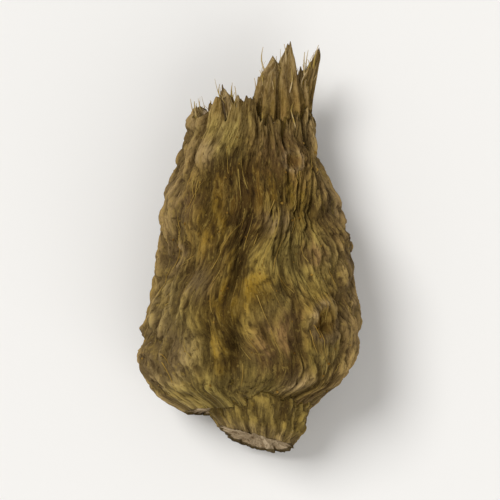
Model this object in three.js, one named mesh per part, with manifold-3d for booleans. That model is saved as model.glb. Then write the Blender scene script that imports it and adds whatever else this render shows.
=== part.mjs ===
// One cut piece of dried valerian rootstock, lying on its flattened underside.
// Millimetres, +Z up. The long axis runs along Y, with the knife cut at -Y and the torn end at +Y.
// The origin is the middle of the floor of the piece's box.

import * as THREE from 'three';
import { mergeVertices } from 'three/addons/utils/BufferGeometryUtils.js';
import Module from 'manifold-3d';

const wasm = await Module();
wasm.setup();

// Driving dimensions

const SIDES = 88;              // sides round the body, eight to a broad crease
const RINGS = 44;              // steps along the body
const CAP_RINGS = 3;           // steps from the rim of a cut or torn face to its middle

const BODY_CUT_Y = -4.6;       // the knife cut at the lower end
const BODY_TORN_Y = 3.5;       // where the torn end starts between the teeth of bark
const TOOTH_REACH = 1.0;       // how far the teeth of bark reach past it
const TORN_DEPTH = 0.7;        // how deep the torn face is sunk behind its rim
const CUT_SLANT = 0.2;         // how far the cut face runs forward for each millimetre downwards

// The body's outline at a few places along it: left and right edges seen from above,
// and the lowest and highest level seen from the side.
const STATIONS = [
  { y: -4.6, left: -2.0, right: 1.6, low: 0.55, high: 2.7 },
  { y: -4.2, left: -2.7, right: 2.1, low: 0.25, high: 3.25 },
  { y: -3.4, left: -3.1, right: 2.85, low: 0.05, high: 3.75 },
  { y: -2.2, left: -3.02, right: 3.08, low: -0.07, high: 4.1 },
  { y: -0.6, left: -2.86, right: 3.0, low: -0.09, high: 4.12 },
  { y: 0.8, left: -2.6, right: 2.65, low: -0.03, high: 3.75 },
  { y: 2.2, left: -2.28, right: 2.15, low: 0.15, high: 3.25 },
  { y: 3.4, left: -1.9, right: 1.88, low: 0.4, high: 2.8 },
  { y: 4.5, left: -1.6, right: 1.7, low: 0.75, high: 2.4 },
];
const WAIST = 0.44;            // level of the widest part, as a share of the height
const SQUARE_TOP = 0.9;        // below 1, the upper half is fuller than an ellipse
const SQUARE_BASE = 0.72;      // the lower half is flatter still

// Lengthwise creases of the shrunken bark: how many round the body, and how deep
const BROAD_CREASES = 11;
const BROAD_DEPTH = 0.19;
const NARROW_CREASES = 22;
const NARROW_DEPTH = 0.13;
const CUT_CREASES = 0.35;      // share of their depth that is left at the knife cut
const CREASED_Y = -3.2;        // where they have their full depth
const TORN_CREASES = 1.5;      // how much deeper they are at the torn end
const OPENED_Y = 0.8;          // where they start to deepen towards it
const SWELLING = 0.06;         // height of the shallow swellings and hollows under the creases

// Angles go round the body from its right edge (0) over the top (90) to its left edge (180).
// A furrow runs between two places along the body; a negative depth raises a ridge.
const FURROWS = [
  { y: [-3.7, 0.6], angle: [99, 96], width: 0.22, depth: 0.36 },
  { y: [-3.2, -1.5], angle: [114, 110], width: 0.26, depth: 0.2 },
  { y: [1.0, 3.2], angle: [106, 100], width: 0.42, depth: 0.26 },
  { y: [-3.4, 0.5], angle: [64, 66], width: 0.24, depth: 0.1 },
  { y: [-3.6, -0.4], angle: [81, 84], width: 0.36, depth: -0.16 },
  { y: [-3.2, 0.8], angle: [24, 30], width: 0.3, depth: -0.12 },
  { y: [-3.8, 1.6], angle: [152, 146], width: 0.26, depth: 0.2 },
  { y: [-3.0, 2.6], angle: [226, 214], width: 0.3, depth: 0.3 },
  { y: [-2.0, 3.0], angle: [322, 334], width: 0.3, depth: 0.28 },
];

// Round scars where rootlets broke off: a dished middle inside a raised lip
const SCARS = [
  { y: -1.95, angle: 48, radius: 0.46, depth: 0.13, lip: 0.13 },
  { y: -0.15, angle: 141, radius: 0.26, depth: 0.16, lip: 0.07 },
  { y: 1.1, angle: 207, radius: 0.32, depth: 0.14, lip: 0.1 },
  { y: -2.5, angle: 192, radius: 0.4, depth: 0.15, lip: 0.12 },
  { y: -0.7, angle: 334, radius: 0.4, depth: 0.15, lip: 0.12 },
  { y: 2.0, angle: 346, radius: 0.28, depth: 0.13, lip: 0.08 },
  { y: 2.45, angle: 58, radius: 0.24, depth: 0.12, lip: 0.07 },
];

// Blunt knobs, most of them along the edges
const KNOBS = [
  { y: -2.7, angle: 6, radius: 0.34, height: 0.14 },
  { y: -1.5, angle: 10, radius: 0.32, height: 0.13 },
  { y: -0.35, angle: 14, radius: 0.3, height: 0.14 },
  { y: 1.4, angle: 20, radius: 0.28, height: 0.13 },
  { y: 1.65, angle: 170, radius: 0.26, height: 0.18 },
  { y: -3.3, angle: 168, radius: 0.34, height: 0.1 },
  { y: -2.9, angle: 134, radius: 0.7, height: 0.14 },
  { y: -0.9, angle: 120, radius: 0.42, height: 0.12 },
  { y: 0.75, angle: 76, radius: 0.4, height: 0.13 },
  { y: -3.7, angle: 62, radius: 0.42, height: 0.12 },
  { y: 2.7, angle: 128, radius: 0.36, height: 0.1 },
  { y: 0.2, angle: 250, radius: 0.4, height: 0.1 },
  { y: -3.0, angle: 300, radius: 0.45, height: 0.12 },
];

// The root stub below the body: an oval tongue of root with a slanted cut, dished in the middle
const STUB = {
  from: [0.05, -3.0, 1.9],
  to: [0.14, -5.44, 1.45],
  halfWidth: 1.36,             // at the cut
  halfHeight: 1.08,
  flareWidth: 1.2,             // how much wider it is where it grows from the body
  flareHeight: 1.5,            // and how much taller
  hidden: 0.3,                 // how much slimmer its end inside the body is
  slant: 0.25,                 // how much further the right side of the cut reaches
  lean: 0.33,                  // how much further its underside reaches
  corners: 0.2,                // how far both sides of the cut stay back
  dish: 0.2,
  rim: 0.16,                   // rounding of the cut's edge
  creases: 8,
  creaseDepth: 0.16,
};
const STUB_SIDES = 40;
const STUB_RINGS = 10;

// Splinters of the torn end, each from deep in the body to its tip. A low keen value makes
// a slender point, a high one keeps the splinter broad almost to its tip.
const SPLINTERS = [
  { from: [0.9, 2.0, 1.8], to: [1.06, 5.9, 2.1], width: 1.3, thick: 1.2, tip: 0.2, keen: 2.2, bow: 0.08 },
  { from: [0.5, 2.0, 1.9], to: [0.66, 5.5, 2.05], width: 1.4, thick: 1.1, tip: 0.24, keen: 3.0, bow: -0.04 },
  { from: [1.2, 2.0, 1.6], to: [1.9, 5.8, 1.85], width: 1.0, thick: 0.9, tip: 0.2, keen: 1.4, bow: -0.1 },
  { from: [1.1, 2.0, 1.7], to: [1.44, 5.25, 1.8], width: 1.1, thick: 0.9, tip: 0.22, keen: 2.6, bow: 0.04 },
  { from: [0.1, 2.0, 1.9], to: [0.26, 5.05, 1.9], width: 1.1, thick: 1.0, tip: 0.24, keen: 1.7, bow: 0.06 },
  { from: [-0.5, 2.0, 1.9], to: [-0.84, 4.7, 2.1], width: 1.0, thick: 0.9, tip: 0.2, keen: 1.3, bow: 0.06 },
  { from: [-1.1, 1.8, 1.6], to: [-1.66, 4.15, 1.75], width: 1.0, thick: 1.0, tip: 0.2, keen: 1.4, bow: -0.05 },
  { from: [-0.2, 2.0, 1.3], to: [-0.3, 4.45, 1.2], width: 1.3, thick: 0.9, tip: 0.3, keen: 1.8, bow: 0.0 },
  { from: [-0.9, 2.0, 1.2], to: [-1.2, 4.2, 1.15], width: 0.9, thick: 0.8, tip: 0.24, keen: 1.6, bow: 0.05 },
  { from: [0.9, 2.0, 1.3], to: [1.3, 5.0, 1.1], width: 1.5, thick: 1.0, tip: 0.28, keen: 2.4, bow: 0.1 },
  { from: [0.4, 2.0, 1.1], to: [0.5, 4.6, 0.8], width: 1.0, thick: 0.8, tip: 0.24, keen: 1.5, bow: -0.05 },
];
const SPLINTER_SIDES = 9;
const SPLINTER_RINGS = 7;

// Short rootlets broken off near the bark: place on the body, length, radius, droop of the tip
const ROOTLETS = [
  { y: -2.9, angle: 214, length: 0.6, radius: 0.34, droop: -0.1 },
  { y: 0.2, angle: 326, length: 0.7, radius: 0.3, droop: -0.15 },
  { y: 2.3, angle: 218, length: 0.55, radius: 0.26, droop: 0.1 },
];
const ROOTLET_SIDES = 10;
const ROOTLET_RINGS = 5;
const ROOTLET_DEPTH = 0.7;     // how far a rootlet is sunk into the body

// The smooth spot that the piece rests on
const REST = { x: 0.0, y: -1.0, halfWidth: 1.35, halfLength: 2.2 };

const ROOM = 40;               // larger than the piece every way

const BARK_COLOUR = 0x7d6538;
const MERGE_DISTANCE = 1e-4;   // corners closer than this are one corner

// Small helpers

const radians = THREE.MathUtils.degToRad;
const clamp = THREE.MathUtils.clamp;
const lerp = THREE.MathUtils.lerp;
const smoothstep = THREE.MathUtils.smoothstep;

function signedPower(value, power) {
  return Math.sign(value) * Math.abs(value) ** power;
}

// The gap between two angles, from -PI to PI
function turnBetween(a, b) {
  return Math.atan2(Math.sin(a - b), Math.cos(a - b));
}

const outlineCurve = new THREE.CubicInterpolant(
  STATIONS.map((station) => station.y),
  STATIONS.flatMap(({ left, right, low, high }) => [left, right, low, high]),
  4,
);

function sectionAt(y) {
  const [left, right, low, high] = outlineCurve.evaluate(y);
  const waist = lerp(low, high, WAIST);
  return { left, right, low, high, waist, radius: (right - left + high - low) / 4 };
}

// The creases follow the grain. Grain lines are numbered by turns from 0 to 2 PI round the body;
// they stand closer on one side than on another, and sway a little along the piece.
function grainAngle(grain, y) {
  const spacing = 0.12 * Math.sin(2 * grain + 1.1) + 0.03 * Math.sin(5 * grain + 0.4);
  const sway = 0.16 * Math.sin(0.55 * y + grain + 0.7) + 0.06 * Math.sin(1.4 * y + 2 * grain)
    + 0.02 * Math.sin(3.1 * y - 3 * grain);
  return grain + spacing + sway;
}

// From 0 on the crest between two creases to 1 at the bottom of a crease
function crease(count, grain) {
  return (1 - Math.abs(Math.sin(0.5 * count * grain))) ** 1.3;
}

// Creases come and go along the piece. They fade towards the knife cut and deepen towards the
// torn end, where the bark opens along them.
function barkCreases(grain, y) {
  const broadShare = 0.5 + 0.35 * Math.sin(3 * grain + 1.3 * y + 0.6)
    + 0.25 * Math.sin(2 * grain - 2.1 * y + 1.0);
  const narrowShare = 0.45 + 0.6 * Math.sin(4 * grain - 1.7 * y + 2.0);
  const broad = BROAD_DEPTH * clamp(broadShare, 0, 1) * crease(BROAD_CREASES, grain);
  const narrow = NARROW_DEPTH * clamp(narrowShare, 0, 1) * crease(NARROW_CREASES, grain);
  const faded = lerp(CUT_CREASES, 1, smoothstep(y, BODY_CUT_Y, CREASED_Y));
  const opened = lerp(1, TORN_CREASES, smoothstep(y, OPENED_Y, BODY_TORN_Y));
  return -(broad + narrow) * faded * opened;
}

function swelling(grain, y) {
  return SWELLING * (Math.sin(2 * grain + 1.9 * y + 0.5) + Math.sin(3 * grain - 1.2 * y + 2.2));
}

function furrowRelief(furrow, angle, y, radius) {
  const [startY, endY] = furrow.y;
  const along = clamp((y - startY) / (endY - startY), 0, 1);
  const middle = radians(lerp(furrow.angle[0], furrow.angle[1], along));
  const across = turnBetween(angle, middle) * radius;
  const beyond = Math.max(startY - y, y - endY, 0);
  return -furrow.depth * Math.exp(-((across / furrow.width) ** 2) - (beyond / 0.45) ** 2);
}

function distanceTo(mark, angle, y, radius) {
  const across = turnBetween(angle, radians(mark.angle)) * radius;
  return Math.hypot(across, y - mark.y) / mark.radius;
}

function scarRelief(scar, angle, y, radius) {
  const far = distanceTo(scar, angle, y, radius);
  const dish = Math.exp(-((far / 0.75) ** 2));
  const lip = Math.exp(-(((far - 1) / 0.35) ** 2));
  return scar.lip * lip - scar.depth * dish;
}

function knobRelief(knob, angle, y, radius) {
  const far = distanceTo(knob, angle, y, radius);
  return knob.height * Math.exp(-(far ** 2));
}

function sum(marks, relief, angle, y, radius) {
  return marks.reduce((total, mark) => total + relief(mark, angle, y, radius), 0);
}

// How much of the relief is left near the spot that the piece rests on
function reliefShare(x, y, below) {
  const out = Math.hypot((x - REST.x) / REST.halfWidth, (y - REST.y) / REST.halfLength);
  return below ? smoothstep(out, 0.75, 1.2) : 1;
}

// A point of the body's side on a grain line, with all its relief
function bodyPoint(grain, y) {
  const { left, right, low, high, waist, radius } = sectionAt(y);
  const angle = grainAngle(grain, y);
  const c = Math.cos(angle);
  const s = Math.sin(angle);
  const middle = (left + right) / 2;
  const halfWidth = (right - left) / 2;
  const halfHeight = s > 0 ? high - waist : waist - low;
  const power = s > 0 ? SQUARE_TOP : SQUARE_BASE;
  const x = middle + halfWidth * signedPower(c, SQUARE_TOP);
  const z = waist + halfHeight * signedPower(s, power);
  const outward = new THREE.Vector2(c / halfWidth, s / halfHeight).normalize();
  const relief = barkCreases(grain, y) + swelling(grain, y)
    + sum(FURROWS, furrowRelief, angle, y, radius)
    + sum(SCARS, scarRelief, angle, y, radius)
    + sum(KNOBS, knobRelief, angle, y, radius);
  const share = reliefShare(x, y, s < 0);
  return new THREE.Vector3(x + outward.x * relief * share, y, z + outward.y * relief * share);
}

// How far the torn bark reaches on a grain line, as a share of the longest tooth
function toothShare(grain) {
  const ragged = 0.5 + 0.3 * Math.sin(3 * grain + 1.2) + 0.2 * Math.sin(7 * grain + 0.3);
  const broad = 1 - crease(BROAD_CREASES, grain);
  const narrow = 1 - crease(NARROW_CREASES, grain);
  return ragged * lerp(broad, narrow, 0.5);
}

// A closed mesh becomes a solid once its shared corners are merged and its collapsed faces dropped
function toSolid(geometry) {
  geometry.deleteAttribute('normal');
  geometry.deleteAttribute('uv');
  const merged = mergeVertices(geometry, MERGE_DISTANCE);
  const index = merged.getIndex().array;
  const triVerts = [];
  for (let i = 0; i < index.length; i += 3) {
    const [a, b, c] = [index[i], index[i + 1], index[i + 2]];
    if (a !== b && b !== c && c !== a) triVerts.push(a, b, c);
  }
  const vertProperties = Float32Array.from(merged.getAttribute('position').array);
  return new wasm.Manifold(new wasm.Mesh({
    numProp: 3,
    vertProperties,
    triVerts: Uint32Array.from(triVerts),
  }));
}

function toGeometry(solid) {
  const mesh = solid.getMesh();
  const geometry = new THREE.BufferGeometry();
  geometry.setAttribute('position', new THREE.BufferAttribute(mesh.vertProperties, 3));
  geometry.setIndex(new THREE.BufferAttribute(mesh.triVerts, 1));
  geometry.computeVertexNormals();
  return geometry;
}

// A turned blank with closed ends. Its height coordinate says where a point lies on the skin:
// -1 to 0 from the middle of the first face to its rim, 0 to 1 along the side, 1 to 2 back in.
function blank(sides, rings, capRings) {
  const profile = [];
  for (let i = 0; i <= capRings; i += 1) {
    profile.push(new THREE.Vector2(i / capRings, i / capRings - 1));
  }
  for (let i = 1; i <= rings; i += 1) {
    profile.push(new THREE.Vector2(1, i / rings));
  }
  for (let i = 1; i <= capRings; i += 1) {
    profile.push(new THREE.Vector2(1 - i / capRings, 1 + i / capRings));
  }
  return new THREE.LatheGeometry(profile, sides);
}

// Moves each corner of a blank to shape(angle, along, inward), where inward goes from 0 at a
// face's rim to 1 at its middle and is 0 along the side
function shapeBlank(geometry, shape) {
  const position = geometry.getAttribute('position');
  for (let i = 0; i < position.count; i += 1) {
    const skin = position.getY(i);
    const angle = Math.atan2(position.getZ(i), position.getX(i));
    const along = clamp(skin, 0, 1);
    const inward = Math.max(-skin, skin - 1, 0);
    const point = shape(angle, along, inward);
    position.setXYZ(i, point.x, point.y, point.z);
  }
  return geometry;
}

// Sub-parts of the grown piece

function body() {
  return toSolid(shapeBlank(blank(SIDES, RINGS, CAP_RINGS), (grain, along, inward) => {
    const tornY = BODY_TORN_Y + TOOTH_REACH * toothShare(grain);
    const y = lerp(BODY_CUT_Y, tornY, along);
    const rim = bodyPoint(grain, y);
    const middleY = along < 0.5 ? BODY_CUT_Y : BODY_TORN_Y - TORN_DEPTH;
    const { left, right, waist } = sectionAt(middleY);
    const point = rim.lerp(new THREE.Vector3((left + right) / 2, middleY, waist), inward);
    const cutShare = 1 - smoothstep(along, 0, 0.12);
    point.y += CUT_SLANT * (point.z - waist) * cutShare;
    return point;
  }));
}

// The stub's creases stand unevenly round it and differ in depth
function stubCrease(angle) {
  const uneven = angle + 0.25 * Math.sin(2 * angle + 1.0);
  const share = 0.6 + 0.4 * Math.sin(3 * angle + 0.8);
  return share * crease(STUB.creases, uneven);
}

function rootStub() {
  const from = new THREE.Vector3(...STUB.from);
  const to = new THREE.Vector3(...STUB.to);
  return toSolid(shapeBlank(blank(STUB_SIDES, STUB_RINGS, CAP_RINGS), (angle, along, inward) => {
    const centre = to.clone().lerp(from, along);
    const shrink = STUB.creaseDepth * stubCrease(angle);
    const grown = smoothstep(along, 0.05, 0.5);
    const rounded = 1 - STUB.rim * (1 - smoothstep(along, 0, 0.15));
    const slimmed = 1 - STUB.hidden * smoothstep(along, 0.6, 1);
    const reach = (1 - inward) * (1 - shrink) * rounded * slimmed;
    const x = STUB.halfWidth * lerp(1, STUB.flareWidth, grown) * reach * Math.cos(angle);
    const z = STUB.halfHeight * lerp(1, STUB.flareHeight, grown) * reach * Math.sin(angle);
    const side = STUB.corners * (Math.cos(angle) * (1 - inward)) ** 4;
    const slanted = (STUB.lean * z - STUB.slant * x + side) * (1 - along);
    const dished = along < 0.5 ? STUB.dish * Math.sin(0.5 * Math.PI * inward) : 0;
    return centre.add(new THREE.Vector3(x, slanted + dished, z));
  }));
}

function splinter({ from, to, width, thick, tip, keen, bow }) {
  const start = new THREE.Vector3(...from);
  const end = new THREE.Vector3(...to);
  return toSolid(shapeBlank(blank(SPLINTER_SIDES, SPLINTER_RINGS, 1), (angle, along, inward) => {
    const centre = start.clone().lerp(end, along);
    const taper = 1 - along ** keen;
    const halfWidth = lerp(tip, width, taper) / 2;
    const halfThick = lerp(tip, thick, taper) / 2;
    centre.x += bow * Math.sin(Math.PI * along) + halfWidth * (1 - inward) * Math.cos(angle);
    centre.z += halfThick * (1 - inward) * Math.sin(angle);
    return centre;
  }));
}

function rootlet({ y, angle, length, radius, droop }) {
  const whole = length + ROOTLET_DEPTH;
  const shaped = shapeBlank(
    blank(ROOTLET_SIDES, ROOTLET_RINGS, 1),
    (turn, along, inward) => {
      const reach = radius * lerp(1.5, 0.8, smoothstep(along, 0.4, 0.85)) * (1 - inward);
      const bent = droop * along * along;
      return new THREE.Vector3(
        reach * Math.cos(turn),
        (along - 1) * whole + length,
        reach * Math.sin(turn) + bent,
      );
    },
  );
  const place = bodyPoint(radians(angle), y);
  const { left, right, waist } = sectionAt(y);
  const outward = place.clone().sub(new THREE.Vector3((left + right) / 2, y, waist)).normalize();
  const turned = new THREE.Quaternion().setFromUnitVectors(new THREE.Vector3(0, 1, 0), outward);
  shaped.applyQuaternion(turned);
  shaped.translate(place.x, place.y, place.z);
  return toSolid(shaped);
}

// Everything above the floor, from z = 0 up
function aboveFloor() {
  const room = new THREE.BoxGeometry(ROOM, ROOM, ROOM);
  room.translate(0, 0, ROOM / 2);
  return toSolid(room);
}

function rootPiece() {
  const grown = [
    rootStub(),
    ...SPLINTERS.map(splinter),
    ...ROOTLETS.map(rootlet),
  ];
  const whole = grown.reduce((joined, piece) => joined.add(piece), body());
  const material = new THREE.MeshStandardMaterial({
    color: BARK_COLOUR,
    roughness: 0.85,
    metalness: 0,
  });
  const geometry = toGeometry(whole.intersect(aboveFloor()));
  geometry.computeBoundingBox();
  const { min, max } = geometry.boundingBox;
  const mesh = new THREE.Mesh(geometry, material);
  mesh.name = 'root_piece';
  mesh.position.set(-(min.x + max.x) / 2, -(min.y + max.y) / 2, -min.z);
  return mesh;
}

const driedRoot = new THREE.Group();
driedRoot.add(rootPiece());

export default driedRoot;
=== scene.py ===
# %% [markdown]
# # One cut piece of dried valerian root
#
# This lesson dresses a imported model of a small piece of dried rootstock. The real piece is about as
# long as a fingernail. It has a ridged, shrunken bark, a short root stub that a knife cut off at the
# lower end, and splinters at the upper end, where it was torn rather than cut.
#
# Everything is one grown thing, so the looks go on one skin: a fine mesh that repeats the form of
# the solid with far more points. Loose fibres and crumbs that are too thin for a solid lie on it.

# %% Load the frame
import math

import bmesh
import bpy
import numpy as np
from mathutils import Matrix, Vector


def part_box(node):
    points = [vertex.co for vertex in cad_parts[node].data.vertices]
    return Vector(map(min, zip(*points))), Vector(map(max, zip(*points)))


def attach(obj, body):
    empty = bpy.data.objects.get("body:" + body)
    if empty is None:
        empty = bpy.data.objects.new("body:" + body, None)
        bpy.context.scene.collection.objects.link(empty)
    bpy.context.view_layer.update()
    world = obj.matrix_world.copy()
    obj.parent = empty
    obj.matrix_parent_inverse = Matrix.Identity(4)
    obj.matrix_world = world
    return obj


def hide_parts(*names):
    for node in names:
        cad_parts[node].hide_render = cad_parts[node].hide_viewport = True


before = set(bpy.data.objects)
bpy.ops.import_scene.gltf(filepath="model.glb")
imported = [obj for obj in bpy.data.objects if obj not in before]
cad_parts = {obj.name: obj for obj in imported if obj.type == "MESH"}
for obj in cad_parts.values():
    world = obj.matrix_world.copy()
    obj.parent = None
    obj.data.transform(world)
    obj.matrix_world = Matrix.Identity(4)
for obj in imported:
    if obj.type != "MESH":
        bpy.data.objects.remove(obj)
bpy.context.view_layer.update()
MM = 0.001                     # lengths below are in millimetres, and the scene is in metres
low_corner, high_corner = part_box("root_piece")
PIECE = (high_corner - low_corner) / MM
print(f"the solid is {PIECE.x:.2f} x {PIECE.y:.2f} x {PIECE.z:.2f} mm")

# %% [markdown]
# ## The camera
#
# The piece is seen from straight above, with its torn end at the top of the picture. A photograph of
# something this small is taken with a long lens, so that near and far parts keep the same scale. The
# camera comes first, because every later choice is judged through it.

# %% Place the camera
LENS = 135.0                   # millimetres, on Blender's sensor 36 mm wide
SENSOR = 36.0
FRAME_HEIGHT = 14.0            # millimetres that the picture shows from bottom to top
MID_HEIGHT = 0.5 * PIECE.z

camera_data = bpy.data.cameras.new("overhead_camera")
camera_data.lens = LENS
camera_data.sensor_width = SENSOR
camera_distance = FRAME_HEIGHT * LENS / SENSOR
camera_data.clip_start = 0.1 * camera_distance * MM
camera_data.clip_end = 10.0
camera = bpy.data.objects.new("overhead_camera", camera_data)
camera.location = (0.0, 0.0, (MID_HEIGHT + camera_distance) * MM)
bpy.context.scene.collection.objects.link(camera)
bpy.context.scene.camera = camera
print(f"the camera looks down from {camera_distance:.0f} mm")

# %% [markdown]
# ## The table and the light
#
# The floor is plain and pale, and the light is that of a small studio tent: a broad soft light from
# the upper left, a weaker one from the lower right, and a bright surrounding. Two suns that look
# very wide do this and light the whole floor evenly, however far it reaches. Soft light keeps the
# creases readable without hard black shadows.

# %% Make the floor and the lamps
FLOOR_SIZE = 600.0
FLOOR_COLOUR = (0.80, 0.79, 0.77, 1.0)


def flat_material(name, colour, roughness):
    made = bpy.data.materials.new(name)
    made.use_nodes = True
    shader = made.node_tree.nodes["Principled BSDF"]
    shader.inputs["Base Color"].default_value = colour
    shader.inputs["Roughness"].default_value = roughness
    return made


def floor():
    bm = bmesh.new()
    bmesh.ops.create_grid(bm, x_segments=1, y_segments=1, size=0.5 * FLOOR_SIZE * MM)
    mesh = bpy.data.meshes.new("floor")
    bm.to_mesh(mesh)
    bm.free()
    mesh.materials.append(flat_material("pale_floor", FLOOR_COLOUR, 0.9))
    made = bpy.data.objects.new("floor", mesh)
    bpy.context.scene.collection.objects.link(made)


def lamp(name, towards, width, strength):
    """Light from one direction, as soft as that of a lamp that looks `width` degrees wide."""
    data = bpy.data.lights.new(name, "SUN")
    data.angle = math.radians(width)
    data.energy = strength
    made = bpy.data.objects.new(name, data)
    made.rotation_euler = (-Vector(towards)).to_track_quat("-Z", "Y").to_euler()
    bpy.context.scene.collection.objects.link(made)


def surrounding(strength):
    world = bpy.data.worlds.new("studio")
    world.use_nodes = True
    world.node_tree.nodes["Background"].inputs["Color"].default_value = (1.0, 0.985, 0.96, 1.0)
    world.node_tree.nodes["Background"].inputs["Strength"].default_value = strength
    bpy.context.scene.world = world


floor()
lamp("key_lamp", (-0.55, 0.5, 0.9), 28.0, 2.3)
lamp("fill_lamp", (0.5, -0.8, 0.6), 60.0, 1.0)
surrounding(0.42)
bpy.context.scene.view_settings.view_transform = "Standard"
print("floor, 2 lamps and a bright surrounding")

# %% [markdown]
# ## The outline of the body
#
# The body is described by a few stations along its length. Each gives the left and right edge as
# seen from above and the lowest and highest level as seen from the side. Smooth curves through the
# stations give every section between them. The same stations make the solid, so the fine skin keeps
# its form.

# %% Sections along the body
BODY_CUT_Y = -4.6              # the knife cut at the lower end
BODY_TORN_Y = 3.5              # where the torn end starts between the teeth of bark
TOOTH_REACH = 1.0              # how far the teeth of bark reach past it
TORN_DEPTH = 0.7               # how deep the torn face is sunk behind its rim
CUT_SLANT = 0.2                # how far the cut face runs forward for each millimetre downwards
STATIONS = np.array([          # place along the piece, left, right, low, high
    (-4.6, -2.0, 1.6, 0.55, 2.7),
    (-4.2, -2.7, 2.1, 0.25, 3.25),
    (-3.4, -3.1, 2.85, 0.05, 3.75),
    (-2.2, -3.02, 3.08, -0.07, 4.1),
    (-0.6, -2.86, 3.0, -0.09, 4.12),
    (0.8, -2.6, 2.65, -0.03, 3.75),
    (2.2, -2.28, 2.15, 0.15, 3.25),
    (3.4, -1.9, 1.88, 0.4, 2.8),
    (4.5, -1.6, 1.7, 0.75, 2.4),
])
WAIST = 0.44                   # level of the widest part, as a share of the height
SQUARE_TOP = 0.9               # below 1, the upper half is fuller than an ellipse
SQUARE_BASE = 0.72             # the lower half is flatter still


def smooth_curves(stations, y):
    """The values of each column of stations at y, on smooth curves through all of them."""
    at, values = stations[:, 0], stations[:, 1:]
    last = len(at) - 1
    after = np.clip(np.searchsorted(at, y, side="right"), 1, last)
    start, end = at[after - 1], at[after]
    before = np.where(after >= 2, after - 2, after)
    beyond = np.where(after < last, after + 1, after - 1)
    weight_before = 0.5 * (end - start) / (start - at[before])
    weight_beyond = 0.5 * (end - start) / (at[beyond] - end)
    p = (y - start) / (end - start)
    shares = (
        (before, weight_before * (2 * p**2 - p**3 - p)),
        (after - 1, 1 + (weight_before - 0.5) * p - (1.5 + 2 * weight_before) * p**2
         + (1 + weight_before) * p**3),
        (after, 0.5 * p + (1.5 + weight_beyond) * p**2 - (1 + weight_beyond) * p**3),
        (beyond, weight_beyond * (p**3 - p**2)),
    )
    return sum(values[index].T * share for index, share in shares)


def section(y):
    """Left, right, low, high, the level of the waist and the mean radius at y."""
    left, right, low, high = smooth_curves(STATIONS, y)
    waist = low + WAIST * (high - low)
    return left, right, low, high, waist, (right - left + high - low) / 4


left, right, low, high, waist, radius = section(np.linspace(BODY_CUT_Y, BODY_TORN_Y, 50))
print(f"the body is {(right - left).max():.2f} mm wide and {(high - low).max():.2f} mm thick")

# %% [markdown]
# ## The grain and its creases
#
# Bark that has dried on a shrinking root folds into lengthwise creases. They follow the grain, which
# sways a little and stands closer on one side than on another. Grain lines are numbered from 0 to
# 2 pi round the body, and each crease keeps its number from one end to the other. The crease is a
# sharp valley between two rounded crests, which is what one minus the size of a sine gives.

# %% Creases and furrows
BROAD_CREASES = 11
BROAD_DEPTH = 0.19
NARROW_CREASES = 22
NARROW_DEPTH = 0.13
CUT_CREASES = 0.35             # share of their depth that is left at the knife cut
CREASED_Y = -3.2               # where they have their full depth
TORN_CREASES = 1.5             # how much deeper they are at the torn end
OPENED_Y = 0.8                 # where they start to deepen towards it
SWELLING = 0.06                # height of the shallow swellings and hollows under the creases


def smoothstep(value, low, high):
    share = np.clip((value - low) / (high - low), 0.0, 1.0)
    return share * share * (3 - 2 * share)


def mix(low, high, share):
    return low + (high - low) * share


def grain_angle(grain, y):
    spacing = 0.12 * np.sin(2 * grain + 1.1) + 0.03 * np.sin(5 * grain + 0.4)
    sway = (0.16 * np.sin(0.55 * y + grain + 0.7) + 0.06 * np.sin(1.4 * y + 2 * grain)
            + 0.02 * np.sin(3.1 * y - 3 * grain))
    return grain + spacing + sway


def crease(count, grain):
    """From 0 on the crest between two creases to 1 at the bottom of a crease."""
    return (1 - np.abs(np.sin(0.5 * count * grain))) ** 1.3


def bark_creases(grain, y):
    """Creases that come and go, fade towards the knife cut and deepen towards the torn end."""
    broad_share = (0.5 + 0.35 * np.sin(3 * grain + 1.3 * y + 0.6)
                   + 0.25 * np.sin(2 * grain - 2.1 * y + 1.0))
    narrow_share = 0.45 + 0.6 * np.sin(4 * grain - 1.7 * y + 2.0)
    broad = BROAD_DEPTH * np.clip(broad_share, 0, 1) * crease(BROAD_CREASES, grain)
    narrow = NARROW_DEPTH * np.clip(narrow_share, 0, 1) * crease(NARROW_CREASES, grain)
    faded = mix(CUT_CREASES, 1, smoothstep(y, BODY_CUT_Y, CREASED_Y))
    opened = mix(1, TORN_CREASES, smoothstep(y, OPENED_Y, BODY_TORN_Y))
    return -(broad + narrow) * faded * opened


def swelling(grain, y):
    return SWELLING * (np.sin(2 * grain + 1.9 * y + 0.5) + np.sin(3 * grain - 1.2 * y + 2.2))


def turn_between(a, b):
    return np.arctan2(np.sin(a - b), np.cos(a - b))


# Angles go round the body from its right edge (0) over the top (90) to its left edge (180).
# A furrow runs from one place along the body to another; a negative depth raises a ridge.
FURROWS = [                    # from y, to y, from angle, to angle, width, depth
    (-3.7, 0.6, 99, 96, 0.22, 0.36),
    (-3.2, -1.5, 114, 110, 0.26, 0.2),
    (1.0, 3.2, 106, 100, 0.42, 0.26),
    (-3.4, 0.5, 64, 66, 0.24, 0.1),
    (-3.6, -0.4, 81, 84, 0.36, -0.16),
    (-3.2, 0.8, 24, 30, 0.3, -0.12),
    (-3.8, 1.6, 152, 146, 0.26, 0.2),
    (-3.0, 2.6, 226, 214, 0.3, 0.3),
    (-2.0, 3.0, 322, 334, 0.3, 0.28),
]
FURROW_END = 0.45              # millimetres over which a furrow runs out


def furrow_relief(angle, y, radius):
    total = np.zeros_like(y)
    for start, end, start_angle, end_angle, width, depth in FURROWS:
        along = np.clip((y - start) / (end - start), 0.0, 1.0)
        middle = np.radians(mix(start_angle, end_angle, along))
        across = turn_between(angle, middle) * radius
        beyond = np.maximum(np.maximum(start - y, y - end), 0.0)
        total -= depth * np.exp(-((across / width) ** 2) - (beyond / FURROW_END) ** 2)
    return total


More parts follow.
